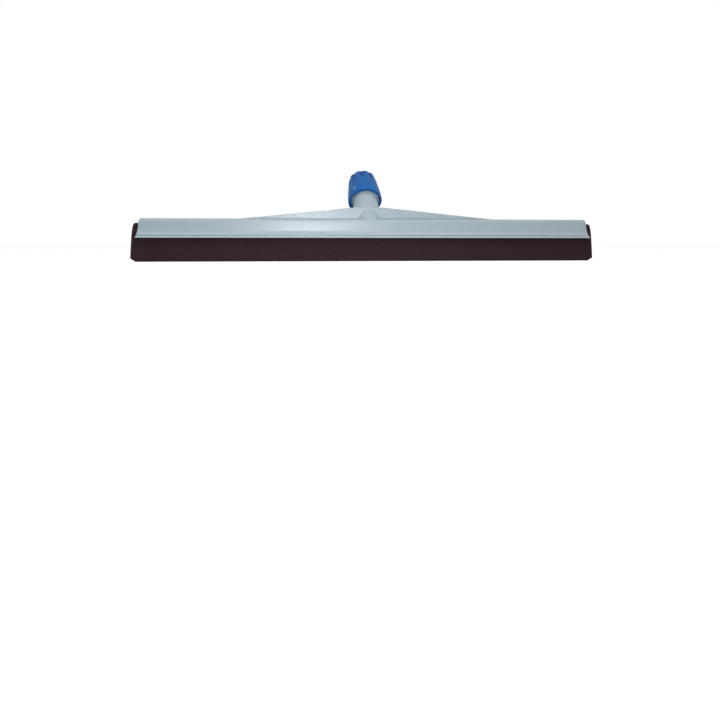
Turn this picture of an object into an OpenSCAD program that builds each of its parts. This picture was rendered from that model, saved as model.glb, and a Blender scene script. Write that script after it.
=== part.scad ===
// Floor squeegee head: twin foam rubber blades in a moulded channel frame, with a leaning
// pole socket that a fluted screw collar clamps. Millimetres, +Z up, blades on the floor at z = 0,
// X along the blades, front towards -Y, socket leaning back towards +Y.

/* [Blades] */
// Length of each blade at the height of the frame's lip
blade_len = 550; // [450:10:760]
// Height of each blade from the floor to its top edge in the channel
blade_h = 44.6; // [44.4:0.1:45]
// Free thickness of one blade
blade_t = 9.7; // [9.5:0.05:9.7]
// How much longer each end of a blade is at the floor than at the lip
blade_end_flare = 1.2; // [0:0.1:2]

/* [Frame] */
// Length of the lip, end to end
lip_len = 541; // [440:1:750]
// Outside width of the channel across its flat faces
channel_w = 24.4; // [24.4:0.1:25]
// Height of the channel's flat top
roof_z = 50; // [49.5:0.5:51]
// Height of the lip's lower edge
lip_z = 27.4; // [26:0.1:28]
// Wall thickness of the channel
wall = 2.2; // [2:0.1:2.2]
// Height of the gusset plate's top edge at the middle
gusset_z = 64; // [60:0.5:66]
// Half length of the gusset plate along the roof
gusset_half = 152; // [130:1:170]
// Thickness of the gusset plate
gusset_t = 4; // [3:0.5:5]

/* [Socket] */
// Lean of the pole axis back from vertical
lean = 45; // [44:0.5:46]
// Height at which the pole axis crosses the middle of the channel
axis_z = 40.6; // [40:0.1:41]
// Outside radius of the socket tube
tube_r = 15.2; // [15.1:0.05:15.3]
// Radius of the bore that takes the pole
bore_r = 12; // [11.5:0.1:12.2]
// Pitch of the collar's thread
pitch = 4; // [3.8:0.1:4.2]

/* [Collar] */
// Distance along the pole axis from the channel's middle to the collar's rim
collar_s = 45.4; // [45:0.1:46]
// Length of the collar
collar_len = 40.2; // [39.6:0.1:41]
// Outside radius of the collar's skirt
collar_r = 20.8; // [20.5:0.1:21.5]
// Number of finger flutes round the collar's top
flutes = 10; // [6:1:10]

/* [Hidden] */
$fn = 96;

frame_grey = "#a9b6be";
collar_blue = "#3568aa";
rubber_dark = "#33272b";
ring_white = "#d9dcd8";
spreader_grey = "#8f979c";

// How far cutters and joined solids run into each other, and the usual gap between fitted pieces
overlap = 1;
fit_gap = 0.2;

// Channel section
half_w = channel_w / 2;
inner_half = half_w - wall;
roof_t = 3;
edge_r = 3.5;
flat_face_h = 14;
flare_z = roof_z - flat_face_h;
lip_h = 3.2;
crease_z = lip_z + lip_h;
crease_out = 2.7;
lip_out = 4;
lip_t = 2.8;
lip_edge_r = 0.8;
flare_drop = flare_z - crease_z;
flare_r = (crease_out * crease_out + flare_drop * flare_drop) / (2 * crease_out);
flare_end_angle = asin(flare_drop / flare_r);
inner_flare_angle = 46;

// Teeth inside the channel that hold the blades
tooth_tops = [flare_z + 3, flare_z + 7];
tooth_h = 2.5;
tooth_d = 0.9;

// Frame ends, seen from the front
lip_half = lip_len / 2;
end_flare_in = 2.7;
end_top_in = 4.3;
end_corner_r = 2.8;
end_curve_power = 1.5;
end_steps = 8;

// Gusset plate and the ribs behind it
gusset_foot_r = 60;
gusset_peak = 1.6;
gusset_slope = atan((gusset_z + gusset_peak - roof_z) / gusset_half);
gusset_flat_half = gusset_half - (gusset_z - roof_z) / tan(gusset_slope);
gusset_foot_x = gusset_half + gusset_foot_r * tan(gusset_slope / 2);
rib_t = 2.4;
rib_places = [50, 95];
rib_foot_y = 9.5;
rib_foot_h = 1;
rib_below = 1.2;
rib_top_y = gusset_t / 2 + 0.5;

// Socket tube
nose_r = 8;
bore_floor_s = 33;
tube_foot_s = -8;
tube_top_s = 62;
buttress_z = 42;
buttress_y = 31;
strut_x = 9;
strut_t = 2.4;
strut_z = flare_z + 1;
strut_foot = 0.5;
strut_end = [buttress_y - 3, roof_z + 2];
clear_of_all = 140;

// Thread on the tube
thread_start_s = 43.8;
thread_turn = 180;
thread_turns = 3;
thread_h = 1.5;
thread_base = 2.6;
thread_crest = 1.6;
thread_root = 0.4;
thread_steps = 32;
thread_fade = 8;
thread_play = 0.4;

// Collet fingers
finger_count = 4;
finger_angle = 76;
finger_top_s = 78;
finger_r = 14.2;
finger_tip_r = 13.6;
finger_taper_s = 74;
finger_lead_in = 0.5;

// Wedge ring and the seat for it inside the collar
ring_low_s = 70;
ring_top_s = 79;
ring_low_r = 16.5;
ring_top_r = 15.3;
ring_bore_low_r = 14.9;
ring_bore_top_r = 13.7;
seat_gap = 0.3;

// Collar: each station is [how much narrower than the skirt, distance from the rim]
collar_stations = [[0, 0], [0.25, 4.5], [0.7, 12], [2, 22], [3.1, 31]];
collar_top_s = collar_s + collar_len;
collar_top_r = collar_r - 4.5;
collar_edge_r = 1.6;
collar_mouth_r = bore_r + 1.8;
rim_in = 3.5;
rim_bore_r = collar_r - rim_in;
skirt_depth = 1.5;
thread_bore_r = tube_r + thread_h + thread_play;
thread_bore_top_s = 60;

// Thread inside the collar, half a pitch off the tube's
nut_thread_s = thread_start_s + 1.5 * pitch;
nut_thread_turns = 1.5;
nut_thread_base = 1.6;
nut_thread_crest = 0.8;
nut_thread_r = tube_r + thread_play;

// Finger flutes: each has a flat floor that runs out towards the collar's surface, and a round lower end
flute_turn = -98;
flute_half = 2.1;
flute_depth = 1.5;
flute_run = 12.5;
flute_slope = 13.5;
flute_reach = 6;

// Blades
blade_half = blade_len / 2;
blade_play = 0.3;
blade_out = inner_half - blade_play;
blade_in = blade_out - blade_t;
blade_cut_x = 6.2;
blade_cut_z = 3.7;
blade_mid_in = 0.8;
blade_top_in = 1.8;
blade_top_r = 3.5;
notch_half = 1.5;
notch_z = 27.6;
slot_tip = inner_half - tooth_d - fit_gap;
slot_drop = (blade_out + overlap - slot_tip) * tooth_h / tooth_d;
through_len = blade_len + 20;

// Barbed strip between the blades
spread_len = blade_len - 14;
spread_half = 0.7;
spread_tip_half = 0.4;
spread_low_z = 28;
spread_top_z = 46;
barb_half = 1.3;
barb_tops = [33, 37, 41];
barb_h = 2.2;

// Points of an arc from angle a0 to a1
function arc(cx, cy, r, a0, a1, n = 10) =
    [for (i = [0:n]) let (a = a0 + (a1 - a0) * i / n) [cx + r * cos(a), cy + r * sin(a)]];

// The same points mirrored in the first coordinate, in the opposite order
function mirrored(points) = [for (i = [len(points) - 1:-1:0]) [-points[i][0], points[i][1]]];

// Height of the tube's outside in the middle plane: side is 1 for its upper face and -1 for its lower
function tube_z(y, side) = axis_z + (y * cos(lean) + side * tube_r) / sin(lean);

// How far the frame's end has drawn in at the share t of the way up its curve
function end_in(t) = end_flare_in * (1 - pow(1 - t, end_curve_power));

// Puts its children into the pole's own frame, with Z along the pole
module along_pole() {
    translate([0, 0, axis_z]) rotate([-lean, 0, 0]) children();
}

// Extrudes an outline of [y, z] points along X, centred
module extrude_x(points, length) {
    rotate([90, 0, 90]) translate([0, 0, -length / 2]) linear_extrude(length) polygon(points);
}

// Extrudes an outline of [x, z] points along Y, from y0 to y1
module extrude_y(points, y0, y1) {
    translate([0, y1, 0]) rotate([90, 0, 0]) linear_extrude(y1 - y0) polygon(points);
}

// A helical ridge: the section runs from the root radius to the crest radius and fades at both ends
module ridge(root_r, crest_r, base, crest, turns, start_s) {
    steps = round(turns * thread_steps);
    rings = [for (i = [0:steps])
        let (angle = 360 * i / thread_steps,
            s = start_s + pitch * i / thread_steps,
            rise = min(1, (i + 1) / thread_fade, (steps - i + 1) / thread_fade),
            tip_r = root_r + (crest_r - root_r) * rise)
        for (p = [[root_r, -base / 2], [tip_r, -crest / 2], [tip_r, crest / 2], [root_r, base / 2]])
            [p[0] * cos(angle), p[0] * sin(angle), s + p[1]]];
    sides = [for (i = [0:steps - 1], k = [0:3])
        let (a = 4 * i + k, b = 4 * i + (k + 1) % 4)
        each [[a, b, b + 4], [a, b + 4, a + 4]]];
    last = 4 * steps;
    inward = crest_r < root_r;
    caps = [[2, 1, 0], [3, 2, 0], [last, last + 1, last + 2], [last, last + 2, last + 3]];
    polyhedron(rings, [for (f = concat(sides, caps)) inward ? [f[2], f[1], f[0]] : f]);
}

// Outside of one channel wall from the lip to the roof, on the +Y side
wall_outside = concat(
    arc(half_w + lip_out - lip_edge_r, lip_z + lip_edge_r, lip_edge_r, -90, 0, 4),
    arc(half_w + lip_out - lip_edge_r, crease_z - lip_edge_r, lip_edge_r, 0, 90, 4),
    arc(half_w + flare_r, flare_z, flare_r, 180 + flare_end_angle, 180),
    arc(half_w - edge_r, roof_z - edge_r, edge_r, 0, 90));

// Inside of one channel wall from the roof down to the lip, with its teeth
wall_inside = concat(
    [[inner_half, roof_z - roof_t]],
    [for (i = [len(tooth_tops) - 1:-1:0]) each [
        [inner_half, tooth_tops[i]],
        [inner_half - tooth_d, tooth_tops[i]],
        [inner_half, tooth_tops[i] - tooth_h]]],
    arc(half_w + flare_r, flare_z, flare_r + wall, 180, 180 + inner_flare_angle),
    [[half_w + lip_out - lip_t, lip_z]]);

// Whole channel section
channel_section = concat(wall_outside, mirrored(wall_outside), mirrored(wall_inside), wall_inside);

// Right-hand end of the frame seen from the front, from the lip up to the roof
frame_end = concat(
    [[lip_half, lip_z - overlap]],
    [for (i = [0:end_steps])
        let (t = i / end_steps)
        [lip_half - end_in(t), lip_z + (flare_z - lip_z) * t]],
    arc(lip_half - end_top_in - end_corner_r, roof_z - end_corner_r, end_corner_r, 0, 90, end_steps),
    [[lip_half - end_top_in - end_corner_r - overlap, roof_z + overlap]]);

// Gusset plate seen from the front: right-hand side from the roof to the flat top
gusset_side = concat(
    [[gusset_foot_x, roof_z - overlap]],
    arc(gusset_foot_x, roof_z + gusset_foot_r, gusset_foot_r, -90, -90 - gusset_slope, 8),
    [[gusset_flat_half, gusset_z]]);

// One blade seen from the front: right-hand end from the floor to the top edge
blade_end = concat(
    [[blade_half + blade_end_flare - blade_cut_x, 0],
        [blade_half + blade_end_flare, blade_cut_z],
        [blade_half, lip_z],
        [blade_half - blade_mid_in, flare_z]],
    arc(blade_half - blade_top_in - blade_top_r, blade_h - blade_top_r, blade_top_r, 0, 90, 8));

// The channel with its flared lip, cut to the shape of its ends
module channel() {
    depth_half = half_w + lip_out + overlap;
    intersection() {
        extrude_x(channel_section, lip_len + 2 * overlap);
        extrude_y(concat(frame_end, mirrored(frame_end)), -depth_half, depth_half);
    }
}

// Ribs behind the gusset plate
module ribs() {
    for (x = rib_places, side = [-1, 1]) {
        rib_z = roof_z + (gusset_half - x) * tan(gusset_slope) - rib_below;
        translate([side * x, 0, 0])
            extrude_x([[0, roof_z - overlap], [rib_foot_y, roof_z - overlap],
                [rib_foot_y, roof_z + rib_foot_h], [rib_top_y, rib_z], [0, rib_z]], rib_t);
    }
}

// Struts under the socket tube, running into the channel's rear wall
module struts() {
    for (side = [-1, 1]) {
        translate([side * strut_x, 0, 0])
            extrude_x([[half_w - overlap, strut_z], [half_w + strut_foot, strut_z], strut_end,
                [half_w - overlap, roof_z - roof_t]], strut_t);
    }
}

// The solid tube, cut to a rounded nose that meets the front wall, and to a buttress behind
module socket_body() {
    nose_y = nose_r - half_w;
    nose_z = tube_z(nose_y, 1) - nose_r / sin(lean);
    foot_z = roof_z - roof_t / 2;
    profile = concat(
        [[overlap - half_w, nose_z], [-half_w, nose_z]],
        arc(nose_y, nose_z, nose_r, 180, 180 - lean, 8),
        [[-half_w, clear_of_all], [clear_of_all, clear_of_all], [clear_of_all, roof_z],
            [buttress_y, tube_z(buttress_y, -1)], [half_w, buttress_z], [half_w - overlap, buttress_z],
            [half_w - overlap, foot_z], [overlap - half_w, foot_z]]);
    intersection() {
        along_pole() translate([0, 0, tube_foot_s]) cylinder(r = tube_r, h = tube_top_s - tube_foot_s);
        extrude_x(profile, 3 * tube_r);
    }
}

// Moulded channel with its gusset plate and ribs
module frame() {
    color(frame_grey) union() {
        channel();
        ribs();
        difference() {
            extrude_y(concat(gusset_side, mirrored(gusset_side)), -gusset_t / 2, gusset_t / 2);
            socket_body();
        }
    }
}

// Threaded pole socket, moulded in one with the frame and meeting it along the channel's outside
module socket() {
    color(frame_grey) difference() {
        union() {
            socket_body();
            struts();
            along_pole() rotate([0, 0, thread_turn])
                ridge(tube_r - thread_root, tube_r + thread_h, thread_base, thread_crest, thread_turns,
                    thread_start_s);
        }
        channel();
        along_pole() translate([0, 0, bore_floor_s]) cylinder(r = bore_r, h = tube_top_s);
    }
}

// One split finger at the mouth of the socket tube; index counts round the pole
module collet_finger(index) {
    color(frame_grey) along_pole()
        rotate([0, 0, (index + 0.5) * 360 / finger_count - finger_angle / 2])
            rotate_extrude(angle = finger_angle)
                polygon([[bore_r, tube_top_s], [finger_r, tube_top_s], [finger_r, finger_taper_s],
                    [finger_tip_r, finger_top_s], [bore_r + finger_lead_in, finger_top_s],
                    [bore_r, finger_top_s - 2 * finger_lead_in]]);
}

// Loose ring whose tapered bore pushes the fingers in
module wedge_ring() {
    color(ring_white) along_pole() rotate_extrude()
        polygon([[ring_bore_low_r, ring_low_s], [ring_low_r, ring_low_s],
            [ring_top_r, ring_top_s], [ring_bore_top_r, ring_top_s]]);
}

// Cutter for one finger flute, on the +X side of the collar
module flute_cutter() {
    straight = flute_run - flute_half;
    translate([collar_top_r - flute_depth, 0, collar_top_s]) rotate([0, 90 - flute_slope, 0])
        linear_extrude(flute_reach) union() {
            translate([-flute_reach, -flute_half]) square([straight + flute_reach, 2 * flute_half]);
            translate([straight, 0]) circle(flute_half);
        }
}

// Screw collar: skirt, inside thread, seat for the wedge ring, mouth and finger flutes
module collar() {
    outside = [for (station = collar_stations) [collar_r - station[0], collar_s + station[1]]];
    inside = [[collar_mouth_r, collar_top_s],
        [collar_mouth_r, ring_top_s + fit_gap],
        [ring_top_r + seat_gap, ring_top_s + fit_gap],
        [ring_low_r + seat_gap, ring_low_s],
        [thread_bore_r, thread_bore_top_s],
        [thread_bore_r, collar_s + skirt_depth],
        [rim_bore_r, collar_s]];
    top_edge = arc(collar_top_r - collar_edge_r, collar_top_s - collar_edge_r, collar_edge_r, 0, 90, 6);
    color(collar_blue) along_pole() difference() {
        union() {
            rotate_extrude() polygon(concat(outside, top_edge, inside));
            rotate([0, 0, thread_turn])
                ridge(thread_bore_r + thread_root, nut_thread_r, nut_thread_base, nut_thread_crest,
                    nut_thread_turns, nut_thread_s);
        }
        for (i = [0:flutes - 1]) {
            rotate([0, 0, flute_turn + i * 360 / flutes]) flute_cutter();
        }
    }
}

// One foam rubber blade; side is -1 for the front and 1 for the rear
module blade(side) {
    color(rubber_dark) mirror([0, side < 0 ? 1 : 0, 0]) difference() {
        extrude_y(concat(blade_end, mirrored(blade_end)), blade_in, blade_out);
        extrude_x([[blade_in - overlap, notch_z], [notch_half, notch_z], [notch_half, blade_h + overlap],
            [blade_in - overlap, blade_h + overlap]], through_len);
        for (top = tooth_tops) {
            extrude_x([[blade_out + overlap, top + fit_gap], [slot_tip, top + fit_gap],
                [blade_out + overlap, top + fit_gap - slot_drop]], through_len);
        }
    }
}

module front_blade() {
    blade(-1);
}

module rear_blade() {
    blade(1);
}

// Barbed strip that wedges the two blades apart inside the channel
module blade_spreader() {
    side = concat(
        [[spread_tip_half, spread_low_z]],
        [for (top = barb_tops) each [[spread_half, top - barb_h], [barb_half, top], [spread_half, top]]],
        [[spread_half, spread_top_z]]);
    color(spreader_grey) extrude_x(concat(side, mirrored(side)), spread_len);
}

frame();
socket();
collet_finger(0);  // collet_finger_1
collet_finger(1);  // collet_finger_2
collet_finger(2);  // collet_finger_3
collet_finger(3);  // collet_finger_4
wedge_ring();
collar();
front_blade();
rear_blade();
blade_spreader();
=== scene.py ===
"""Looks of a floor squeegee head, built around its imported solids.

Sizes are in millimetres and turned to metres where a mesh is made. +Z is up, the floor is z = 0,
X runs along the blades, the front faces -Y and the pole socket leans back towards +Y.
"""

import logging
import math
from collections.abc import Callable, Iterator, Sequence
from contextlib import contextmanager
from dataclasses import dataclass
from enum import Enum
from functools import partial

import bmesh
import bpy
from mathutils import Matrix, Vector


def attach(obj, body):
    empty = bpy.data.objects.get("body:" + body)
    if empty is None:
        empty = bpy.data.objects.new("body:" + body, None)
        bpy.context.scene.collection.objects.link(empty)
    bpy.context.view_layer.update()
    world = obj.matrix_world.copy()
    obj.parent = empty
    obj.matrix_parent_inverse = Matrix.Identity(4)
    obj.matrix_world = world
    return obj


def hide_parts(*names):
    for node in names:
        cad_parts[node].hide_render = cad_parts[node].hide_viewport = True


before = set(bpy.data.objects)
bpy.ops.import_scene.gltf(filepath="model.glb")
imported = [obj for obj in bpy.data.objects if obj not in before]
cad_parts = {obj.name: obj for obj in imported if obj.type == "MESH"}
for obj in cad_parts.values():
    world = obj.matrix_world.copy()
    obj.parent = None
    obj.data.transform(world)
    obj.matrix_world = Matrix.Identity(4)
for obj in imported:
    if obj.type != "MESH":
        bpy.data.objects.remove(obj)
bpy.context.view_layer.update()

log = logging.getLogger("squeegee")

MM = 0.001
# Distances in millimetres below which two points are one, a strip of a cut is a sliver, and a vertex is
# taken for the one that is looked for.
SAME = 0.001
SLIVER = 0.01
NEAR = 0.05
# The angle past which an edge counts as sharp.
SHARP_DEG = 40.0
# The mix node's sockets for colours go by number, because those for other kinds have the same names.
MIX_SHARE, MIX_FIRST, MIX_SECOND, MIX_RESULT = 0, 6, 7, 2

Point = tuple[float, float]
Span = tuple[float, float]
Place = tuple[float, float, float]
Light = tuple[float, float, float, float]
NodeSettings = dict[str | int, object]

WHITE: Light = (1.0, 1.0, 1.0, 1.0)


class Side(Enum):
    """The two faces of the head, with the sign of their Y coordinate."""

    FRONT = -1
    REAR = 1


class Along(Enum):
    """The direction in which an outline is extruded."""

    LENGTH = "x"
    DEPTH = "y"


# Modelling at the bench


def leave_all() -> None:
    """Deselects every object and leaves none active."""
    bpy.ops.object.select_all(action="DESELECT")
    bpy.context.view_layer.objects.active = None


def take(obj: bpy.types.Object) -> None:
    """Selects one object alone and makes it active.

    Args:
        obj: the object to work on.
    """
    leave_all()
    obj.select_set(True)
    bpy.context.view_layer.objects.active = obj


@contextmanager
def editing(obj: bpy.types.Object, mode: str = "VERT") -> Iterator[None]:
    """Opens an object in edit mode with nothing selected, and closes it again.

    Args:
        obj: the object to shape.
        mode: the kind of element to select, VERT, EDGE or FACE.
    """
    take(obj)
    bpy.ops.object.mode_set(mode="EDIT")
    bpy.ops.mesh.select_mode(type=mode)
    bpy.ops.mesh.select_all(action="DESELECT")
    yield
    bpy.ops.object.mode_set(mode="OBJECT")


def pick(obj: bpy.types.Object, kind: str, test: Callable[[object], bool]) -> int:
    """Selects, in edit mode, the elements that pass a test and no others.

    Args:
        obj: the object in edit mode.
        kind: verts, edges or faces.
        test: tells whether an element is wanted.

    Returns:
        How many elements were selected.
    """
    bpy.ops.mesh.select_all(action="DESELECT")
    mesh = bmesh.from_edit_mesh(obj.data)
    wanted = [element for element in getattr(mesh, kind) if test(element)]
    for element in wanted:
        element.select_set(True)
    bmesh.update_edit_mesh(obj.data)
    return len(wanted)


def pick_numbers(obj: bpy.types.Object, numbers: Sequence[int]) -> None:
    """Selects, in edit mode, the vertices with these numbers and no others.

    Args:
        obj: the object in edit mode.
        numbers: the numbers of the vertices.
    """
    bpy.ops.mesh.select_all(action="DESELECT")
    mesh = bmesh.from_edit_mesh(obj.data)
    mesh.verts.ensure_lookup_table()
    for number in numbers:
        mesh.verts[number].select_set(True)
    bmesh.update_edit_mesh(obj.data)


def finish_with(obj: bpy.types.Object, kind: str, **settings: object) -> None:
    """Adds a modifier with its settings and applies it.

    Args:
        obj: the object to change.
        kind: the modifier's type.
        settings: the modifier's properties.
    """
    take(obj)
    modifier = obj.modifiers.new(kind.lower(), kind)
    for name, value in settings.items():
        setattr(modifier, name, value)
    bpy.ops.object.modifier_apply(modifier=modifier.name)


def combine(obj: bpy.types.Object, other: bpy.types.Object, operation: str) -> None:
    """Joins, cuts or trims one solid with another, which is used up, and clears the slivers of the cut.

    Args:
        obj: the solid that is kept.
        other: the solid that is used up.
        operation: UNION, DIFFERENCE or INTERSECT.
    """
    finish_with(obj, "BOOLEAN", operation=operation, object=other, solver="EXACT")
    bpy.data.objects.remove(other)
    with editing(obj):
        bpy.ops.mesh.select_all(action="SELECT")
        bpy.ops.mesh.remove_doubles(threshold=SLIVER * MM)
        bpy.ops.mesh.dissolve_degenerate(threshold=SLIVER * MM)


def settle(obj: bpy.types.Object) -> None:
    """Applies an object's place, so that it sits at the origin, unturned and unscaled."""
    take(obj)
    bpy.ops.object.transform_apply(location=True, rotation=True, scale=True)


def face_outwards(obj: bpy.types.Object) -> None:
    """Merges doubled vertices and turns every face outwards.

    Args:
        obj: the solid to mend.
    """
    with editing(obj):
        bpy.ops.mesh.select_all(action="SELECT")
        bpy.ops.mesh.remove_doubles(threshold=SLIVER * MM)
        bpy.ops.mesh.normals_make_consistent(inside=False)


def shade(obj: bpy.types.Object, angle_deg: float) -> None:
    """Shades smooth below an angle and keeps flat faces flat beside rounded edges.

    Args:
        obj: the object to shade.
        angle_deg: the edge angle past which an edge stays sharp.
    """
    take(obj)
    bpy.ops.object.shade_smooth_by_angle(angle=math.radians(angle_deg))
    finish_with(obj, "WEIGHTED_NORMAL", mode="FACE_AREA", keep_sharp=True)


def round_edges(
    obj: bpy.types.Object,
    width: float,
    segments: int,
    test: Callable[[bmesh.types.BMEdge], bool],
) -> None:
    """Rounds the edges that pass a test.

    Args:
        obj: the solid to round.
        width: how far the rounding reaches from the edge, in millimetres.
        segments: how many strips the rounding has.
        test: tells whether an edge is rounded.
    """
    with editing(obj, "EDGE"):
        if pick(obj, "edges", test):
            bpy.ops.mesh.bevel(
                offset=width * MM, segments=segments, affect="EDGES", clamp_overlap=True
            )


def is_sharp(edge: bmesh.types.BMEdge) -> bool:
    """Tells whether an edge turns outwards by more than the angle of a sharp one."""
    return len(edge.link_faces) == 2 and edge.calc_face_angle_signed() > math.radians(SHARP_DEG)


def prism(name: str, outline: Sequence[Point], along: Along, start: float, end: float) -> bpy.types.Object:
    """Traces a closed outline with one vertex, fills it and extrudes it.

    Args:
        name: the new object's name.
        outline: the outline's points in millimetres, [y, z] along the length or [x, z] along the depth.
        along: the direction of the extrusion.
        start: where the extrusion starts, in millimetres.
        end: where it ends.

    Returns:
        The closed solid.
    """
    if along is Along.LENGTH:
        points = [Vector((start, y, z)) * MM for y, z in outline]
        way = Vector((end - start, 0, 0)) * MM
    else:
        points = [Vector((x, start, z)) * MM for x, z in outline]
        way = Vector((0, end - start, 0)) * MM
    leave_all()
    bpy.ops.mesh.primitive_plane_add(size=MM, location=points[0])
    obj = bpy.context.object
    obj.name = name
    settle(obj)
    with editing(obj):
        bpy.ops.mesh.select_all(action="SELECT")
        bpy.ops.mesh.merge(type="CENTER")
        for here, there in zip(points, points[1:]):
            bpy.ops.mesh.extrude_vertices_move(TRANSFORM_OT_translate={"value": there - here})
        ends = (points[0], points[-1])
        pick(obj, "verts", lambda v: any((v.co - p).length < SAME * MM for p in ends))
        bpy.ops.mesh.edge_face_add()
        bpy.ops.mesh.select_all(action="SELECT")
        bpy.ops.mesh.edge_face_add()
        bpy.ops.mesh.extrude_region_move(TRANSFORM_OT_translate={"value": way})
    face_outwards(obj)
    return obj


def arc(centre: Point, radius: float, start_deg: float, end_deg: float, steps: int) -> list[Point]:
    """Points of an arc.

    Args:
        centre: the arc's centre.
        radius: its radius.
        start_deg: the angle where it starts.
        end_deg: the angle where it ends.
        steps: how many straight steps it has.

    Returns:
        The points, both ends included.
    """
    angles = [math.radians(start_deg + (end_deg - start_deg) * i / steps) for i in range(steps + 1)]
    return [(centre[0] + radius * math.cos(a), centre[1] + radius * math.sin(a)) for a in angles]


def mirrored(points: Sequence[Point]) -> list[Point]:
    """The same points on the other side of the first coordinate's zero, in the opposite order."""
    return [(-p[0], p[1]) for p in reversed(points)]


# Finishes


def linear(colour: str) -> Light:
    """Turns an sRGB hex colour to linear light.

    Args:
        colour: six hex digits after a hash sign.

    Returns:
        Red, green, blue and an opaque alpha.
    """
    parts = [int(colour[i : i + 2], 16) / 255 for i in (1, 3, 5)]
    red, green, blue = (c / 12.92 if c <= 0.04045 else ((c + 0.055) / 1.055) ** 2.4 for c in parts)
    return red, green, blue, 1.0


def per_metre(size: float) -> float:
    """A texture's scale for features of a size in millimetres."""
    return 1000 / size


def add_node(
    tree: bpy.types.NodeTree, kind: str, sockets: NodeSettings | None = None, **settings: object
) -> bpy.types.Node:
    """Adds a node with its settings and links.

    Args:
        tree: the node tree.
        kind: the node's type.
        sockets: a value or an output socket for each named or numbered input.
        settings: the node's own properties.

    Returns:
        The new node.
    """
    made = tree.nodes.new(kind)
    for name, value in settings.items():
        setattr(made, name, value)
    for key, value in (sockets or {}).items():
        if isinstance(value, bpy.types.NodeSocket):
            tree.links.new(value, made.inputs[key])
        else:
            made.inputs[key].default_value = value
    return made


def noise(
    tree: bpy.types.NodeTree, place: bpy.types.NodeSocket, size: float, detail: float
) -> bpy.types.NodeSocket:
    """Adds a noise texture.

    Args:
        tree: the node tree.
        place: the place on the object.
        size: the size of its features in millimetres.
        detail: how much finer noise it holds.

    Returns:
        The noise.
    """
    sockets = {"Vector": place, "Scale": per_metre(size), "Detail": detail}
    return add_node(tree, "ShaderNodeTexNoise", sockets).outputs["Fac"]


def remap(
    tree: bpy.types.NodeTree, value: bpy.types.NodeSocket, source: Span, target: Span
) -> bpy.types.NodeSocket:
    """Maps a value from one span onto another and holds it within the span's ends.

    Args:
        tree: the node tree.
        value: the value to map.
        source: the span that it comes from.
        target: the span that it goes to.

    Returns:
        The mapped value.
    """
    spans = {"From Min": source[0], "From Max": source[1], "To Min": target[0], "To Max": target[1]}
    return add_node(tree, "ShaderNodeMapRange", {"Value": value, **spans}).outputs["Result"]


def mix_colours(
    tree: bpy.types.NodeTree,
    share: bpy.types.NodeSocket,
    first: bpy.types.NodeSocket | Light,
    second: Light,
) -> bpy.types.NodeSocket:
    """Mixes two colours.

    Args:
        tree: the node tree.
        share: how much of the second colour shows, from 0 to 1.
        first: the first colour.
        second: the second colour.

    Returns:
        The mixed colour.
    """
    sockets = {MIX_SHARE: share, MIX_FIRST: first, MIX_SECOND: second}
    return add_node(tree, "ShaderNodeMix", sockets, data_type="RGBA").outputs[MIX_RESULT]


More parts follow.
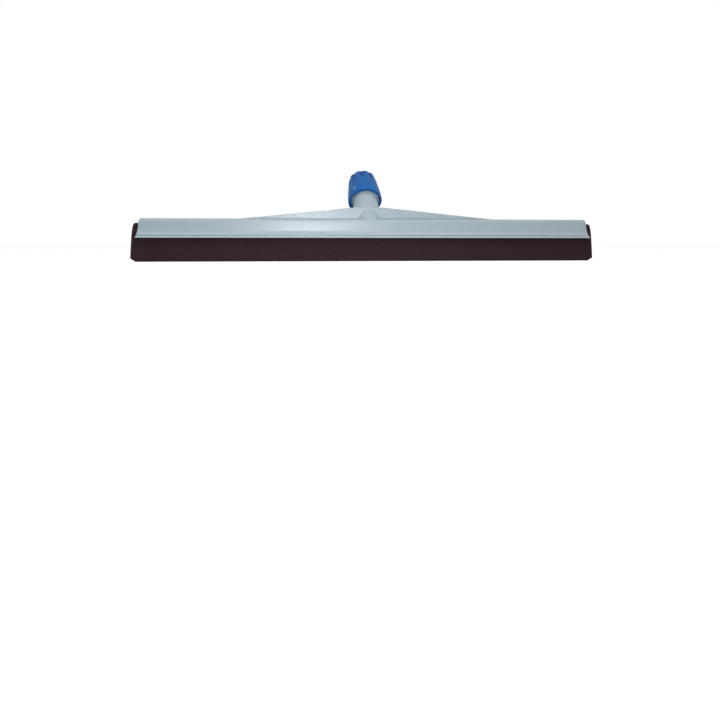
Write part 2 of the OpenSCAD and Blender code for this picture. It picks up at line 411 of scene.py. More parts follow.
@dataclass(frozen=True)
class Moulding:
    """A moulded or foamed surface: mottled colour, fine grain and gloss that follows the grain.

    Sizes are in millimetres. grain_span holds the noise values of the lowest dips and the highest tops,
    gloss_span the heights between dip and top at which the gloss starts and stops changing. Painted shade
    darkens the colour in inner corners: it begins where less than the open share of the sky is in sight,
    and is full at the corner share. A painted glint is a pale spot at one given place.
    """

    name: str
    colour: str
    mottle_colour: str
    grain_colour: str
    roughness: Span
    ior: float
    specular: float
    grain: float
    grain_depth: float
    mottle: float
    mottle_detail: float = 4.0
    grain_detail: float = 2.0
    grain_span: Span = (0.35, 0.65)
    grain_share: float = 0.5
    gloss_span: Span = (0.3, 0.7)
    speck_colour: str = "#000000"
    speck_gap: float = 0.0
    speck_radius: float = 0.0
    # A painted glint: a pale spot painted into the colour at one place.
    painted_glint_colour: str = "#000000"
    painted_glint_place: Place = (0.0, 0.0, 0.0)
    painted_glint_radius: float = 0.0
    spot_core: float = 0.6
    spot_share: float = 0.7
    # Painted shade: the colour is darkened in inner corners, where shade falls.
    painted_shade_colour: str = "#000000"
    painted_shade_reach: float = 0.0
    painted_shade_share: float = 0.0
    painted_shade_open: float = 0.97
    painted_shade_corner: float = 0.67
    painted_shade_samples: int = 8

    def material(self) -> bpy.types.Material:
        """Builds the finish.

        Returns:
            The material.
        """
        made = bpy.data.materials.new(self.name)
        made.use_nodes = True
        tree = made.node_tree
        tree.nodes.clear()
        place = add_node(tree, "ShaderNodeTexCoord").outputs["Object"]
        cloud = noise(tree, place, self.mottle, self.mottle_detail)
        grain = noise(tree, place, self.grain, self.grain_detail)
        relief = remap(tree, grain, self.grain_span, (0.0, 1.0))
        plain = mix_colours(tree, cloud, linear(self.colour), linear(self.mottle_colour))
        dips = remap(tree, relief, (0.0, 1.0), (self.grain_share, 0.0))
        colour = mix_colours(tree, dips, plain, linear(self.grain_colour))
        if self.speck_gap:
            cells = add_node(
                tree, "ShaderNodeTexVoronoi", {"Vector": place, "Scale": per_metre(self.speck_gap)}
            ).outputs["Distance"]
            reach = self.speck_radius / self.speck_gap
            colour = self.spotted(tree, colour, cells, reach, self.speck_colour)
        # A painted glint: a pale spot painted into the colour at one place.
        if self.painted_glint_radius:
            spot = Vector(self.painted_glint_place) * MM
            away = add_node(
                tree, "ShaderNodeVectorMath", {0: place, 1: spot}, operation="DISTANCE"
            ).outputs["Value"]
            colour = self.spotted(tree, colour, away, self.painted_glint_radius * MM, self.painted_glint_colour)
        # Painted shade: the colour is darkened in inner corners, where shade falls.
        if self.painted_shade_reach:
            colour = self.add_painted_shade(tree, colour)
        smooth, dull = self.roughness
        rough = remap(tree, relief, self.gloss_span, (dull, smooth))
        bump = add_node(
            tree, "ShaderNodeBump", {"Strength": 1.0, "Distance": self.grain_depth * MM, "Height": relief}
        )
        shader = add_node(
            tree,
            "ShaderNodeBsdfPrincipled",
            {
                "Base Color": colour,
                "Roughness": rough,
                "IOR": self.ior,
                "Specular IOR Level": self.specular,
                "Normal": bump.outputs["Normal"],
            },
        )
        add_node(tree, "ShaderNodeOutputMaterial", {"Surface": shader.outputs["BSDF"]})
        return made

    def spotted(
        self,
        tree: bpy.types.NodeTree,
        colour: bpy.types.NodeSocket,
        distance: bpy.types.NodeSocket,
        reach: float,
        spot: str,
    ) -> bpy.types.NodeSocket:
        """Adds soft-edged spots to a colour.

        Args:
            tree: the node tree.
            colour: the clean colour.
            distance: the distance from the nearest spot's middle.
            reach: the distance at which a spot ends.
            spot: the spots' colour.

        Returns:
            The spotted colour.
        """
        mask = remap(tree, distance, (reach, self.spot_core * reach), (0.0, self.spot_share))
        return mix_colours(tree, mask, colour, linear(spot))

    def add_painted_shade(self, tree: bpy.types.NodeTree, colour: bpy.types.NodeSocket) -> bpy.types.NodeSocket:
        """Paints shade into the inner corners, darkening the colour where little of the sky is in sight.

        Args:
            tree: the node tree.
            colour: the clean colour.

        Returns:
            The colour, darker in the corners.
        """
        open_sky = add_node(
            tree,
            "ShaderNodeAmbientOcclusion",
            {"Distance": self.painted_shade_reach * MM},
            samples=self.painted_shade_samples,
            only_local=True,
        ).outputs["AO"]
        painted_shade_mask = remap(tree, open_sky, (self.painted_shade_open, self.painted_shade_corner), (0.0, self.painted_shade_share))
        return mix_colours(tree, painted_shade_mask, colour, linear(self.painted_shade_colour))


# Polypropylene moulded in a spark-eroded tool: a dry, light blue-grey skin whose polished grain tops
# break a highlight into sparkles, with painted shade that darkens its inner corners. The real grain is
# about 0.4 mm and is drawn at 1.4 mm to show.
FRAME_FINISH = Moulding(
    name="grained polypropylene moulding",
    colour="#a2b4bf",
    mottle_colour="#a9bbc6",
    grain_colour="#8a9ca8",
    roughness=(0.22, 0.32),
    ior=1.49,
    specular=0.5,
    grain=1.4,
    grain_depth=0.07,
    mottle=24.0,
    speck_colour="#4a5257",
    speck_gap=15.0,
    speck_radius=0.7,
    # Painted shade in the inner corners.
    painted_shade_colour="#5d6467",
    painted_shade_reach=1.5,
    painted_shade_share=0.6,
)
# Polypropylene moulded in a polished tool: saturated blue with a soft sheen, painted shade in the flutes
# and inner corners, and one painted glint that shows pale.
COLLAR_FINISH = Moulding(
    name="satin polypropylene moulding",
    colour="#2163ad",
    mottle_colour="#2768b2",
    grain_colour="#1c5ba3",
    roughness=(0.42, 0.52),
    ior=1.49,
    specular=0.12,
    grain=1.2,
    grain_depth=0.012,
    mottle=14.0,
    # A painted glint near the collar's top.
    painted_glint_colour="#f4f9ff",
    painted_glint_place=(-13.95, 27.56, 89.36),
    painted_glint_radius=1.3,
    # Painted shade in the flutes and inner corners.
    painted_shade_colour="#0c2350",
    painted_shade_reach=5.0,
    painted_shade_share=1.0,
    painted_shade_corner=0.82,
)
# Foam rubber with a skived skin: brown-black and dull, because its open cells swallow most of the
# gloss. The real cells are about 0.3 mm and are drawn at 1.4 mm to show.
RUBBER_FINISH = Moulding(
    name="cellular foam rubber",
    colour="#322126",
    mottle_colour="#37272c",
    grain_colour="#291a1e",
    roughness=(0.7, 0.9),
    ior=1.52,
    specular=0.12,
    grain=1.4,
    grain_depth=0.06,
    mottle=30.0,
)
# Natural acetal moulded in a polished tool: smooth, waxy white.
RING_FINISH = Moulding(
    name="natural acetal moulding",
    colour="#d8dbd6",
    mottle_colour="#cfd3ce",
    grain_colour="#c9cdc8",
    roughness=(0.26, 0.34),
    ior=1.48,
    specular=0.5,
    grain=0.9,
    grain_depth=0.008,
    mottle=8.0,
)
# Extruded polypropylene strip: plain grey with a dull drawn skin.
STRIP_FINISH = Moulding(
    name="extruded polypropylene strip",
    colour="#8b9499",
    mottle_colour="#959da2",
    grain_colour="#80888d",
    roughness=(0.44, 0.56),
    ior=1.49,
    specular=0.5,
    grain=1.5,
    grain_depth=0.02,
    mottle=20.0,
)


def dress(obj: bpy.types.Object, material: bpy.types.Material) -> None:
    """Gives an object one material and no other.

    Args:
        obj: the object to dress.
        material: its finish.
    """
    obj.data.materials.clear()
    obj.data.materials.append(material)


# The object's own pieces


@dataclass(frozen=True)
class PoleAxis:
    """The leaning axis that the socket, collar and pole share, in millimetres and degrees."""

    height: float = 40.6
    lean: float = 45.0

    def matrix(self) -> Matrix:
        """Turns the pole's own frame, with Z along the pole, into the head's."""
        turn = Matrix.Rotation(-math.radians(self.lean), 4, "X")
        return Matrix.Translation((0, 0, self.height * MM)) @ turn

    def lay(self, obj: bpy.types.Object) -> None:
        """Puts an object that was modelled along Z onto the pole's axis."""
        obj.matrix_world = self.matrix()
        settle(obj)


@dataclass
class HelicalRidge:
    """A screw thread: a ridge that climbs along Z and fades at both ends, in millimetres and degrees."""

    root_r: float
    crest_r: float
    base: float
    crest: float
    start_s: float
    turns: float
    first_turn: float = 180.0
    pitch: float = 4.0
    steps: int = 32
    faded: int = 8

    def build(self) -> bpy.types.Object:
        """Sweeps the ridge's section up the helix.

        Returns:
            The ridge, along Z.
        """
        middle_r = (self.root_r + self.crest_r) / 2
        leave_all()
        bpy.ops.mesh.primitive_plane_add(
            size=1, location=(middle_r * MM, 0, self.start_s * MM), rotation=(math.pi / 2, 0, 0)
        )
        ridge = bpy.context.object
        ridge.name = "ridge"
        ridge.scale = (abs(self.crest_r - self.root_r) * MM, self.base * MM, 1)
        settle(ridge)
        outwards = 1 if self.crest_r > self.root_r else -1
        with editing(ridge):
            pick(ridge, "verts", lambda v: outwards * (v.co.x - middle_r * MM) > 0)
            bpy.ops.transform.resize(
                value=(1, 1, self.crest / self.base),
                center_override=(self.crest_r * MM, 0, self.start_s * MM),
            )
            bpy.ops.mesh.select_all(action="SELECT")
            bpy.ops.mesh.delete(type="ONLY_FACE")
        # The sweep is repeated in quarter turns, so that a thread can end after any of them.
        quarter_steps = self.steps // 4
        finish_with(
            ridge,
            "SCREW",
            axis="Z",
            angle=math.pi / 2,
            screw_offset=self.pitch / 4 * MM,
            iterations=round(self.turns * 4),
            steps=quarter_steps,
            render_steps=quarter_steps,
            use_merge_vertices=True,
            merge_threshold=SAME * MM,
        )
        with editing(ridge):
            bpy.ops.mesh.select_all(action="SELECT")
            bpy.ops.mesh.fill_holes(sides=4)
            self.fade(ridge)
        face_outwards(ridge)
        ridge.rotation_euler.z = math.radians(self.first_turn)
        settle(ridge)
        return ridge

    def fade(self, ridge: bpy.types.Object) -> None:
        """Draws the crest back to the root at both ends of the ridge, in edit mode.

        Args:
            ridge: the swept ridge.
        """
        last = round(self.turns * self.steps)
        for step in range(self.faded):
            share = (step + 1) / self.faded
            factor = (self.root_r + (self.crest_r - self.root_r) * share) / self.crest_r
            for ring in (step, last - step):
                middle = (self.start_s + ring * self.pitch / self.steps) * MM
                angle = 2 * math.pi * ring / self.steps
                spot = Vector((math.cos(angle), math.sin(angle))) * self.crest_r * MM
                pick(ridge, "verts", partial(self.on_crest, spot=spot, middle=middle))
                bpy.ops.transform.resize(value=(factor, factor, 1), center_override=(0, 0, middle))

    def on_crest(self, vertex: bmesh.types.BMVert, spot: Vector, middle: float) -> bool:
        """Tells whether a vertex is on the crest at one step of the sweep.

        Args:
            vertex: a vertex of the ridge.
            spot: the crest's place at that step, in x and y.
            middle: the height of the crest's middle there.

        Returns:
            Whether it is on the crest.
        """
        beside = (vertex.co.xy - spot).length < NEAR * MM
        return beside and abs(vertex.co.z - middle) < self.base / 2 * MM


@dataclass
class MouldedFrame:
    """Channel, gusset plate, ribs and threaded pole socket, moulded in one.

    In the names of sizes, w is a width, d a depth, h a height, t a thickness, r a radius, z a height over
    the floor and s a distance along the pole's axis. over is how far a shape runs past what it cuts or
    into what it is joined to, and buried how far the faces where the tube is cut off lie inside the
    channel's walls.
    """

    pole: PoleAxis
    lip_half: float = 270.5
    half_w: float = 12.2
    wall: float = 2.2
    roof_z: float = 50.0
    roof_t: float = 3.0
    edge_r: float = 5.2
    edge_start: float = 25.0
    flare_z: float = 36.0
    lip_z: float = 27.4
    crease_z: float = 30.6
    crease_out: float = 2.7
    lip_out: float = 4.0
    lip_t: float = 2.8
    lip_edge_r: float = 0.4
    lip_lean: float = 12.0
    lip_step: float = 0.5
    lip_groove: float = 0.7
    inner_flare_deg: float = 46.0
    tooth_tops: tuple[float, ...] = (39.0, 43.0)
    tooth_h: float = 2.5
    tooth_d: float = 0.9
    end_flare_in: float = 2.7
    end_top_in: float = 4.3
    end_corner_r: float = 2.8
    end_curve_power: float = 1.5
    end_rounding: float = 1.3
    gusset_z: float = 64.0
    gusset_half: float = 152.0
    gusset_t: float = 4.0
    gusset_peak: float = 1.6
    gusset_foot_r: float = 60.0
    gusset_rounding: float = 0.6
    gusset_plain: float = 0.2
    rib_t: float = 2.4
    rib_places: tuple[float, ...] = (50.0, 95.0)
    rib_foot_y: float = 9.5
    rib_below: float = 1.2
    rib_rounding: float = 0.25
    tube_r: float = 15.2
    tube_foot_s: float = -8.0
    tube_top_s: float = 62.0
    tube_sides: int = 128
    nose_reach: float = 3.3
    nose_below: float = 8.0
    bore_r: float = 12.0
    bore_floor_s: float = 33.0
    buttress_z: float = 42.0
    buttress_y: float = 31.0
    strut_x: float = 9.0
    strut_short: float = 3.0
    strut_rise: float = 2.0
    thread_start_s: float = 43.8
    thread_turns: float = 3.0
    thread_h: float = 1.5
    thread_root: float = 0.4
    thread_base: float = 2.6
    thread_crest: float = 1.6
    over: float = 1.0
    buried: float = 0.1
    smooth_deg: float = 32.0

    def section(self) -> list[Point]:
        """Traces the channel's section, with the lip, flare and teeth.

        Returns:
            The closed outline's points, as y and z.
        """
        drop = self.flare_z - self.crease_z
        flare_r = (self.crease_out**2 + drop**2) / (2 * self.crease_out)
        turn = math.degrees(math.asin(drop / flare_r))
        lip_y = self.half_w + self.lip_out - self.lip_edge_r
        ledge_z = self.crease_z - self.lip_step
        ledge_y = lip_y - (ledge_z - self.lip_z) * math.tan(math.radians(self.lip_lean))
        groove_y = self.half_w + self.crease_out - self.lip_groove
        edge_y = self.half_w - self.edge_r * math.cos(math.radians(self.edge_start))
        flare_centre = (self.half_w + flare_r, self.flare_z)
        outside = [
            *arc((lip_y, self.lip_z + self.lip_edge_r), self.lip_edge_r, -90, self.lip_lean, steps=4),
            *arc((ledge_y, ledge_z - self.lip_edge_r), self.lip_edge_r, self.lip_lean, 90, steps=4),
            (groove_y, ledge_z),
            (groove_y, self.crease_z),
            *arc(flare_centre, flare_r, 180 + turn, 180, steps=12),
            *arc((edge_y, self.roof_z - self.edge_r), self.edge_r, self.edge_start, 90, steps=10),
        ]
        inner = self.half_w - self.wall
        inside = [(inner, self.roof_z - self.roof_t)]
        for top in reversed(self.tooth_tops):
            inside += [(inner, top), (inner - self.tooth_d, top), (inner, top - self.tooth_h)]
        inside += arc(flare_centre, flare_r + self.wall, 180, 180 + self.inner_flare_deg, steps=10)
        inside.append((self.half_w + self.lip_out - self.lip_t, self.lip_z))
        return [*outside, *mirrored(outside), *mirrored(inside), *inside]

    def end_outline(self) -> list[Point]:
        """Traces the frame as seen from the front, with its drawn-in ends.

        Returns:
            The closed outline's points, as x and z.
        """
        steps = 10
        right = [(self.lip_half, self.lip_z - self.over)]
        for i in range(steps + 1):
            share = i / steps
            drawn = self.end_flare_in * (1 - (1 - share) ** self.end_curve_power)
            right.append((self.lip_half - drawn, self.lip_z + (self.flare_z - self.lip_z) * share))
        corner = (self.lip_half - self.end_top_in - self.end_corner_r, self.roof_z - self.end_corner_r)
        right += arc(corner, self.end_corner_r, 0, 90, steps=8)
        right.append((corner[0] - self.over, self.roof_z + self.over))
        return [*right, *mirrored(right)]

    def channel(self) -> bpy.types.Object:
        """Extrudes the channel, trims its ends to shape and rounds them.

        Returns:
            The channel.
        """
        length = self.lip_half + self.over
        depth = self.half_w + self.lip_out + self.over
        channel = prism("moulded_frame", self.section(), Along.LENGTH, -length, length)
        ends = prism("end_trim", self.end_outline(), Along.DEPTH, -depth, depth)
        combine(channel, ends, "INTERSECT")
        face_outwards(channel)
        round_edges(channel, self.end_rounding, segments=3, test=self.at_the_end)
        return channel

    def at_the_end(self, edge: bmesh.types.BMEdge) -> bool:
        """Tells whether an edge lies between an end face and the channel's outside.

        Args:
            edge: an edge of the channel.

        Returns:
            Whether it is one.
        """
        if len(edge.link_faces) != 2:
            return False
        # How far a wall's normal may turn along the length, an end's has to, and a roof's has to point up.
        wall_turn, end_turn, roof_turn = 0.05, 0.2, 0.5
        wall, end = sorted(edge.link_faces, key=lambda face: abs(face.normal.x))
        middle = (edge.verts[0].co + edge.verts[1].co) / 2
        on_side = abs(middle.y) > (self.half_w - self.edge_r) * MM
        on_roof = middle.z > (self.roof_z - self.over) * MM
        outward = wall.normal.y * middle.y > 0 or wall.normal.z > roof_turn
        meets_end = abs(wall.normal.x) < wall_turn and abs(end.normal.x) > end_turn
        return meets_end and (on_side or on_roof) and outward

    def gusset(self) -> bpy.types.Object:
        """Makes the plate that rises from the roof to the socket, with rounded upper edges.

        Returns:
            The plate.
        """
        slope = math.atan((self.gusset_z + self.gusset_peak - self.roof_z) / self.gusset_half)
        foot_x = self.gusset_half + self.gusset_foot_r * math.tan(slope / 2)
        flat_half = self.gusset_half - (self.gusset_z - self.roof_z) / math.tan(slope)
        foot_centre = (foot_x, self.roof_z + self.gusset_foot_r)
        right = [
            (foot_x, self.roof_z - self.over),
            *arc(foot_centre, self.gusset_foot_r, -90, -90 - math.degrees(slope), steps=10),
            (flat_half, self.gusset_z),
        ]
        half = self.gusset_t / 2
        plate = prism("gusset", [*right, *mirrored(right)], Along.DEPTH, -half, half)
        low = (self.roof_z + self.gusset_plain) * MM
        round_edges(
            plate,
            self.gusset_rounding,
            segments=3,
            test=lambda e: is_sharp(e) and min(v.co.z for v in e.verts) > low,
        )
        return plate

    def ribs(self) -> list[bpy.types.Object]:
        """Makes the ribs behind the gusset plate.

        Returns:
            The ribs.
        """
        slope = (self.gusset_z + self.gusset_peak - self.roof_z) / self.gusset_half
        made = []
        for place in self.rib_places:
            top = self.roof_z + (self.gusset_half - place) * slope - self.rib_below
            outline = [
                (0, self.roof_z - self.over),
                (self.rib_foot_y, self.roof_z - self.over),
                (self.rib_foot_y, self.roof_z + self.over),
                (self.gusset_t / 2 + self.over / 2, top),
                (0, top),
            ]
            for x in (-place, place):
                rib = prism("rib", outline, Along.LENGTH, x - self.rib_t / 2, x + self.rib_t / 2)
                round_edges(rib, self.rib_rounding, segments=2, test=is_sharp)
                made.append(rib)
        return made

    def struts(self) -> list[bpy.types.Object]:
        """Makes the struts that carry the socket tube on the rear wall.

        Returns:
            The struts.
        """
        foot = self.half_w - self.over
        outline = [
            (foot, self.flare_z + self.over),
            (self.half_w + self.over / 2, self.flare_z + self.over),
            (self.buttress_y - self.strut_short, self.roof_z + self.strut_rise),
            (foot, self.roof_z - self.roof_t),
        ]
        return [
            prism("strut", outline, Along.LENGTH, x - self.rib_t / 2, x + self.rib_t / 2)
            for x in (-self.strut_x, self.strut_x)
        ]

    def cylinder(self, name: str, radius: float, low_s: float, top_s: float) -> bpy.types.Object:
        """Makes a cylinder on the pole's axis.

        Args:
            name: the new object's name.
            radius: its radius in millimetres.
            low_s: where it starts along the axis.
            top_s: where it ends.

        Returns:
            The cylinder.
        """
        leave_all()
        bpy.ops.mesh.primitive_cylinder_add(
            vertices=self.tube_sides,
            radius=radius * MM,
            depth=(top_s - low_s) * MM,
            location=(0, 0, (low_s + top_s) / 2 * MM),
        )
        made = bpy.context.object
        made.name = name
        settle(made)
        self.pole.lay(made)
        return made

    def tube(self) -> bpy.types.Object:
        """Makes the socket tube, cut off level with the front wall with a rounded nose.

        Returns:
            The tube.
        """
        tube = self.cylinder("tube", self.tube_r, self.tube_foot_s, self.tube_top_s)
        lean = math.radians(self.pole.lean)
        under_z = self.pole.height + (self.buttress_y * math.cos(lean) - self.tube_r) / math.sin(lean)
        rise = Vector((0, self.buttress_y - self.half_w, under_z - self.buttress_z))
        front_y = (self.buried - self.half_w) * MM
        with editing(tube):
            bpy.ops.mesh.select_all(action="SELECT")
            bpy.ops.mesh.bisect(
                plane_co=(0, self.half_w * MM, self.buttress_z * MM),
                plane_no=(0, rise.z, -rise.y),
                use_fill=True,
                clear_outer=True,
            )
            bpy.ops.mesh.select_all(action="SELECT")
            bpy.ops.mesh.bisect(
                plane_co=(0, front_y, 0), plane_no=(0, -1, 0), use_fill=True, clear_outer=True
            )
        face_outwards(tube)
        low = (self.roof_z - self.nose_below) * MM
        round_edges(
            tube,
            self.nose_reach,
            segments=8,
            test=lambda e: all(abs(v.co.y - front_y) < SAME * MM and v.co.z > low for v in e.verts),
        )
        return tube

    def thread(self) -> bpy.types.Object:
        """Makes the helical ridge round the tube.

        Returns:
            The ridge.
        """
        ridge = HelicalRidge(
            root_r=self.tube_r - self.thread_root,
            crest_r=self.tube_r + self.thread_h,
            base=self.thread_base,
            crest=self.thread_crest,
            start_s=self.thread_start_s,
            turns=self.thread_turns,
        ).build()
        self.pole.lay(ridge)
        return ridge

    def build(self) -> bpy.types.Object:
        """Builds the whole moulding.

        Returns:
            The frame.
        """
        socket = self.tube()
        inner = self.half_w - self.wall + self.buried
        half_room = 2 * self.tube_r
        cavity = [(inner, self.lip_z), (inner, self.roof_z - self.roof_t + self.buried)]
        room = prism("cavity", [*cavity, *mirrored(cavity)], Along.LENGTH, -half_room, half_room)
        combine(socket, room, "DIFFERENCE")
        bore = self.cylinder("bore", self.bore_r, self.bore_floor_s, self.tube_top_s + self.over)
        combine(socket, bore, "DIFFERENCE")
        combine(socket, self.thread(), "UNION")
        body = self.channel()
        for part in (self.gusset(), socket, *self.struts(), *self.ribs()):
            combine(body, part, "UNION")
        face_outwards(body)
        shade(body, self.smooth_deg)
        return body


@dataclass
class ScrewCollar:
    """The screw collar with its finger flutes, modelled along Z and then laid on the pole's axis.

    In the names of sizes, r is a radius and s a distance along the axis. Each station gives how much
    narrower than the skirt the outside is, and how far above the rim.
    """

    pole: PoleAxis
    rim_s: float = 45.4
    length: float = 40.2
    skirt_r: float = 20.8
    stations: tuple[Point, ...] = ((0.25, 4.5), (0.7, 12.0), (2.0, 22.0), (3.1, 31.0))
    rim_edge_r: float = 0.5
    rim_chamfer: float = 0.3
    top_r: float = 16.3
    top_edge_r: float = 1.6
    mouth_r: float = 13.8
    mouth_edge_r: float = 0.4
    seat_s: float = 79.2
    seat_top_r: float = 15.6
    seat_low_r: float = 16.8
    seat_low_s: float = 70.0
    thread_bore_r: float = 17.1
    thread_bore_top_s: float = 60.0
    rim_bore_r: float = 17.3
    skirt_depth: float = 1.5
    nut_thread_s: float = 49.8
    nut_thread_r: float = 15.6
    nut_thread_root: float = 0.4
    nut_thread_base: float = 1.6
    nut_thread_crest: float = 0.8
    nut_thread_turns: float = 1.5
    sides: int = 440
    ring_step: float = 0.6
    flutes: int = 10
    flute_turn: float = -98.0
    flute_half: float = 2.1
    flute_wall: float = 1.2
    flute_depth: float = 1.7
    flute_run: float = 16.0
    flute_slope: float = 11.5
    smooth_deg: float = 35.0

    def outside(self) -> list[Point]:
        """Traces the outside from the rim's lower edge to the mouth, as radius and distance along the pole.

        Returns:
            The points, close enough together for the flutes.
        """
        top_s = self.rim_s + self.length
        rim_centre = (self.skirt_r - self.rim_edge_r, self.rim_s + self.rim_edge_r)
        top_centre = (self.top_r - self.top_edge_r, top_s - self.top_edge_r)
        mouth_centre = (self.mouth_r + self.mouth_edge_r, top_s - self.mouth_edge_r)
        points = arc(rim_centre, self.rim_edge_r, -90, 0, steps=4)
        knots = [
            (self.skirt_r, rim_centre[1]),
            *[(self.skirt_r - narrow, self.rim_s + up) for narrow, up in self.stations],
            (self.top_r, top_centre[1]),
        ]
        for low, high in zip(knots, knots[1:]):
            steps = max(2, round((high[1] - low[1]) / self.ring_step))
            points += [
                (low[0] + (high[0] - low[0]) * i / steps, low[1] + (high[1] - low[1]) * i / steps)
                for i in range(1, steps + 1)
            ]
        points += arc(top_centre, self.top_edge_r, 0, 90, steps=8)[1:]
        points += arc(mouth_centre, self.mouth_edge_r, 90, 180, steps=3)
        return points

    def inside(self) -> list[Point]:
        """Traces the inside from the mouth back to the rim, as radius and distance along the pole.

        Returns:
            The points.
        """
        return [
            (self.mouth_r, self.seat_s),
            (self.seat_top_r, self.seat_s),
            (self.seat_low_r, self.seat_low_s),
            (self.thread_bore_r, self.thread_bore_top_s),
            (self.thread_bore_r, self.rim_s + self.skirt_depth),
            (self.rim_bore_r, self.rim_s + self.rim_chamfer),
            (self.rim_bore_r + self.rim_chamfer, self.rim_s),
        ]

    def fluted_radius(self, radius: float, s: float, offset: float) -> float:
        """Finds the collar's radius in a flute or beside it.

        Args:
            radius: the plain radius.
            s: the distance along the pole.
            offset: the angle from the flute's middle, in radians.

        Returns:
            The radius, drawn in where the flute is.
        """
        below = self.rim_s + self.length - s
        past_straight = max(below - self.flute_run + self.flute_half, 0)
        aside = math.hypot(radius * math.sin(offset), past_straight)
        share = min(max((self.flute_half + self.flute_wall / 2 - aside) / self.flute_wall, 0), 1)
        rise = math.tan(math.radians(self.flute_slope)) * below
        floor = (self.top_r - self.flute_depth + rise) / math.cos(offset)
        return radius + min(floor - radius, 0) * share**2 * (3 - 2 * share)

    def press_flutes(self, collar: bpy.types.Object, rings: Sequence[Point]) -> None:
        """Draws the outside in at the flutes, ring by ring and column by column, in edit mode.

        Args:
            collar: the plain collar, along Z.
            rings: the radius and height of each ring of vertices, in their order.
        """
        pitch = self.sides // self.flutes
        # The columns are counted from +Y, 90 degrees on from +X.
        first = round(self.sides * (self.flute_turn - 90) / 360) % pitch
        for ring, (radius, s) in enumerate(rings):
            for column in range(pitch // 2):
                fluted = self.fluted_radius(radius, s, 2 * math.pi * column / self.sides)
                if fluted > radius - SLIVER:
                    continue
                wanted = {
                    ring * self.sides + (first + flute * pitch + side * column) % self.sides
                    for flute in range(self.flutes)
                    for side in (-1, 1)
                }
                pick_numbers(collar, sorted(wanted))
                factor = fluted / radius
                bpy.ops.transform.resize(value=(factor, factor, 1), center_override=(0, 0, s * MM))

    def build(self) -> bpy.types.Object:
        """Raises the collar ring by ring from its rim, presses the flutes and closes the inside.

        Returns:
            The collar.
        """
        outside, inside = self.outside(), self.inside()
        start_r, start_s = outside[0]
        leave_all()
        bpy.ops.mesh.primitive_circle_add(
            vertices=self.sides, radius=start_r * MM, location=(0, 0, start_s * MM), fill_type="NOTHING"
        )
        collar = bpy.context.object
        collar.name = "screw_collar"
        settle(collar)
        rings = [*outside, *inside]
        with editing(collar):
            bpy.ops.mesh.select_all(action="SELECT")
            for (low_r, low_s), (high_r, high_s) in zip(rings, [*rings[1:], rings[0]]):
                bpy.ops.mesh.extrude_region_move(
                    TRANSFORM_OT_translate={"value": (0, 0, (high_s - low_s) * MM)}
                )
                bpy.ops.transform.resize(
                    value=(high_r / low_r, high_r / low_r, 1), center_override=(0, 0, high_s * MM)
                )
            self.press_flutes(collar, outside)
        face_outwards(collar)
        ridge = HelicalRidge(
            root_r=self.thread_bore_r + self.nut_thread_root,
            crest_r=self.nut_thread_r,
            base=self.nut_thread_base,
            crest=self.nut_thread_crest,
            start_s=self.nut_thread_s,
            turns=self.nut_thread_turns,
        ).build()
        combine(collar, ridge, "UNION")
        self.pole.lay(collar)
        shade(collar, self.smooth_deg)
        return collar


@dataclass
class FoamBlade:
    """One blade of the refill, with cut lower corners and slots for the channel's teeth.

    In the names of sizes, z is a height over the floor, r a radius, and in how far the ends are drawn in.
    """

    side: Side
    half_len: float = 275.0
    height: float = 44.6
    inner_y: float = 0.0
    outer_y: float = 9.7
    flare: float = 1.2
    cut_x: float = 6.2
    cut_z: float = 3.7
    lip_z: float = 27.4
    mid_z: float = 36.0
    mid_in: float = 0.8
    top_in: float = 1.8
    top_r: float = 3.5
    notch_half: float = 1.5
    notch_z: float = 27.6
    slot_tops: tuple[float, ...] = (39.2, 43.2)
    slot_tip: float = 8.9
    slot_slope: float = 2.78
    rounding: float = 1.2
    over: float = 1.0
    past_ends: float = 10.0
    smooth_deg: float = 40.0

    def outline(self) -> list[Point]:
        """Traces the blade as seen from the front.

        Returns:
            The closed outline's points, as x and z.
        """
        top_centre = (self.half_len - self.top_in - self.top_r, self.height - self.top_r)
        right = [
            (self.half_len + self.flare - self.cut_x, 0.0),
            (self.half_len + self.flare, self.cut_z),
            (self.half_len, self.lip_z),
            (self.half_len - self.mid_in, self.mid_z),
            *arc(top_centre, self.top_r, 0, 90, steps=8),
        ]
        return [*right, *mirrored(right)]

    def build(self) -> bpy.types.Object:
        """Cuts the blade from the sheet, slots it and softens its edges.

        Returns:
            The blade.
        """
        sign = self.side.value
        low, high = sorted((sign * self.inner_y, sign * self.outer_y))
        name = f"{self.side.name.lower()}_foam_blade"
        blade = prism(name, self.outline(), Along.DEPTH, low, high)
        outer = sign * self.outer_y * MM
        round_edges(
            blade,
            self.rounding,
            segments=4,
            test=lambda e: all(abs(v.co.y - outer) < SAME * MM for v in e.verts),
        )
        reach = self.half_len + self.past_ends
        past = self.outer_y + self.over
        cuts = [[
            (-sign * self.over, self.notch_z),
            (sign * self.notch_half, self.notch_z),
            (sign * self.notch_half, self.height + self.over),
            (-sign * self.over, self.height + self.over),
        ]]
        for top in self.slot_tops:
            drop = (past - self.slot_tip) * self.slot_slope
            cuts.append([(sign * past, top), (sign * self.slot_tip, top), (sign * past, top - drop)])
        for cut in cuts:
            combine(blade, prism("slot", cut, Along.LENGTH, -reach, reach), "DIFFERENCE")
        face_outwards(blade)
        shade(blade, self.smooth_deg)
        return blade


# Light, camera and floor


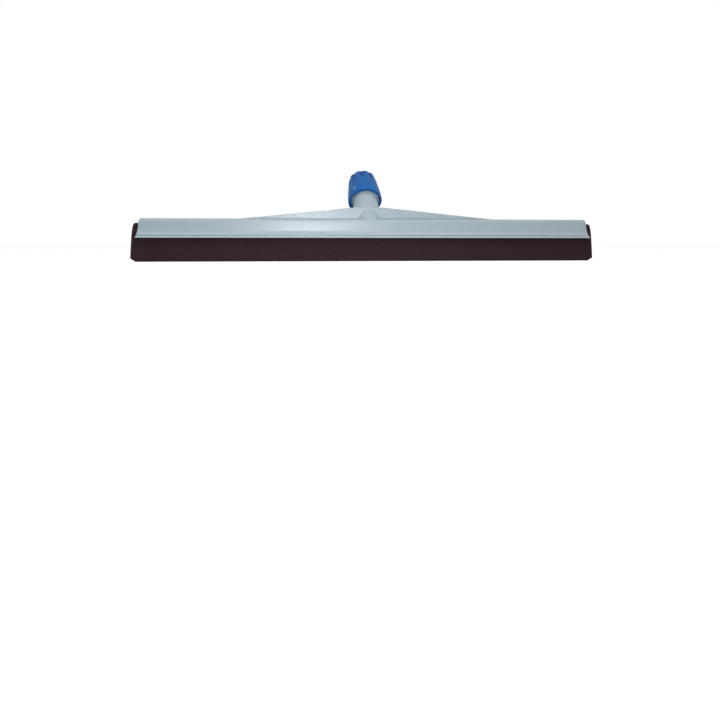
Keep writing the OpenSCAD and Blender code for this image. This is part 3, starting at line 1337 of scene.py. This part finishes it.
@dataclass(frozen=True)
class Lamp:
    """A square soft lamp that faces the object, in millimetres and watts."""

    name: str
    place: Place
    size: float
    power: float
    tint: tuple[float, float, float]
    aim: Place = (0.0, 0.0, 40.0)
    in_gloss: bool = True

    def build(self) -> None:
        """Sets up the lamp, which the camera doesn't see, and gloss only where in_gloss is set."""
        data = bpy.data.lights.new(self.name, "AREA")
        data.energy = self.power
        data.size = self.size * MM
        data.color = self.tint
        lamp = bpy.data.objects.new(self.name, data)
        lamp.location = Vector(self.place) * MM
        way = Vector(self.aim) * MM - lamp.location
        lamp.rotation_euler = way.to_track_quat("-Z", "Y").to_euler()
        lamp.visible_camera = False
        lamp.visible_glossy = self.in_gloss
        bpy.context.scene.collection.objects.link(lamp)


@dataclass
class Studio:
    """A white floor and surround, soft lamps in front, above and behind, and the camera.

    The camera's values were found by matching the head's outline to the photograph. Those named px are in
    the photograph's pixels, and the others in millimetres and degrees.
    """

    camera_place: Point = (-152.7, -1047.3)
    camera_height: float = 21.2
    camera_turn: float = -8.295
    focal_px: float = 886.465
    frame_px: float = 720.0
    axis_px: Point = (368.84, 243.26)
    sensor: float = 36.0
    nearest: float = 10.0
    ambient: float = 0.45
    ambient_tint: Light = (1.0, 0.99, 0.97, 1.0)
    floor_paint: Light = (0.45, 0.45, 0.45, 1.0)
    floor_glow: float = 0.78
    floor_size: float = 60000.0
    lamps: tuple[Lamp, ...] = (
        Lamp("key", (-40.0, -420.0, 26.0), 45.0, 0.76, (0.98, 0.95, 0.97)),
        Lamp("overhead", (0.0, -500.0, 1200.0), 700.0, 1.7, (1.0, 0.84, 0.34)),
        Lamp("fill", (-150.0, -1100.0, 1150.0), 1000.0, 8.3, (0.95, 0.975, 0.98), in_gloss=False),
        Lamp("back", (0.0, 1500.0, 600.0), 1000.0, 5.0, (1.0, 0.98, 0.95), in_gloss=False),
    )

    def camera(self) -> None:
        """Sets up the camera at the photograph's place."""
        data = bpy.data.cameras.new("camera")
        data.sensor_width = self.sensor
        data.lens = self.focal_px / self.frame_px * self.sensor
        data.shift_x = (self.frame_px / 2 - self.axis_px[0]) / self.frame_px
        data.shift_y = (self.axis_px[1] - self.frame_px / 2) / self.frame_px
        data.clip_start = self.nearest * MM
        camera = bpy.data.objects.new("camera", data)
        camera.location = Vector((*self.camera_place, self.camera_height)) * MM
        camera.rotation_euler = (math.pi / 2, 0, math.radians(self.camera_turn))
        bpy.context.scene.collection.objects.link(camera)
        bpy.context.scene.camera = camera

    def surround(self) -> None:
        """Makes the world white to the eye and to gloss, and an even soft light elsewhere."""
        world = bpy.data.worlds.new("white surround")
        bpy.context.scene.world = world
        world.use_nodes = True
        tree = world.node_tree
        tree.nodes.clear()
        path = add_node(tree, "ShaderNodeLightPath")
        seen = add_node(
            tree,
            "ShaderNodeMath",
            {0: path.outputs["Is Camera Ray"], 1: path.outputs["Is Glossy Ray"]},
            operation="MAXIMUM",
        )
        clear = add_node(
            tree,
            "ShaderNodeMath",
            {0: seen.outputs[0], 1: path.outputs["Is Transmission Ray"]},
            operation="MAXIMUM",
        )
        light = add_node(
            tree, "ShaderNodeBackground", {"Color": self.ambient_tint, "Strength": self.ambient}
        )
        white = add_node(tree, "ShaderNodeBackground", {"Color": WHITE, "Strength": 1.0})
        mixed = add_node(
            tree, "ShaderNodeMixShader", {0: clear.outputs[0], 1: light.outputs[0], 2: white.outputs[0]}
        )
        add_node(tree, "ShaderNodeOutputWorld", {"Surface": mixed.outputs[0]})

    def floor(self) -> None:
        """Lays a floor that looks white to the camera and keeps the object's shadow."""
        leave_all()
        bpy.ops.mesh.primitive_plane_add(size=self.floor_size * MM)
        floor = bpy.context.object
        floor.name = "floor"
        made = bpy.data.materials.new("matt white floor")
        made.use_nodes = True
        tree = made.node_tree
        tree.nodes.clear()
        path = add_node(tree, "ShaderNodeLightPath")
        paint = add_node(tree, "ShaderNodeBsdfDiffuse", {"Color": self.floor_paint})
        seen = add_node(
            tree,
            "ShaderNodeMath",
            {0: path.outputs["Is Camera Ray"], 1: self.floor_glow},
            operation="MULTIPLY",
        )
        glow = add_node(tree, "ShaderNodeEmission", {"Color": WHITE, "Strength": seen.outputs[0]})
        both = add_node(tree, "ShaderNodeAddShader", {0: paint.outputs[0], 1: glow.outputs[0]})
        add_node(tree, "ShaderNodeOutputMaterial", {"Surface": both.outputs[0]})
        dress(floor, made)

    def build(self) -> None:
        """Sets up the whole studio."""
        self.camera()
        for lamp in self.lamps:
            lamp.build()
        self.surround()
        self.floor()
        bpy.context.scene.view_settings.view_transform = "Standard"


# Putting it together


def fit(
    piece: bpy.types.Object, finish: bpy.types.Material, body: str, nodes: Sequence[str]
) -> None:
    """Dresses a new piece and fits it to its body in place of its solids.

    Args:
        piece: the new piece.
        finish: its material.
        body: the body that it rides on.
        nodes: the solids that it stands for.
    """
    dress(piece, finish)
    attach(piece, body)
    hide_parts(*nodes)
    log.info("%s: %d faces, on %s", piece.name, len(piece.data.polygons), body)


def main() -> None:
    """Builds the studio and every piece."""
    logging.basicConfig(level=logging.INFO, format="%(name)s %(message)s")
    Studio().build()
    pole = PoleAxis()
    plastic, satin, rubber = FRAME_FINISH.material(), COLLAR_FINISH.material(), RUBBER_FINISH.material()
    fit(MouldedFrame(pole).build(), plastic, "frame", ("frame", "socket"))
    fit(ScrewCollar(pole).build(), satin, "collar", ("collar",))
    for side in Side:
        node = f"{side.name.lower()}_blade"
        blade = FoamBlade(side).build()
        fit(blade, rubber, "refill", (node,))
    kept = {"wedge_ring": RING_FINISH.material(), "blade_spreader": STRIP_FINISH.material()}
    kept |= {name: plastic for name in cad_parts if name.startswith("collet_finger")}
    for name, finish in kept.items():
        dress(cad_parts[name], finish)
        log.info("%s: kept as it is, in %s", name, finish.name)


if __name__ == "__main__":
    main()
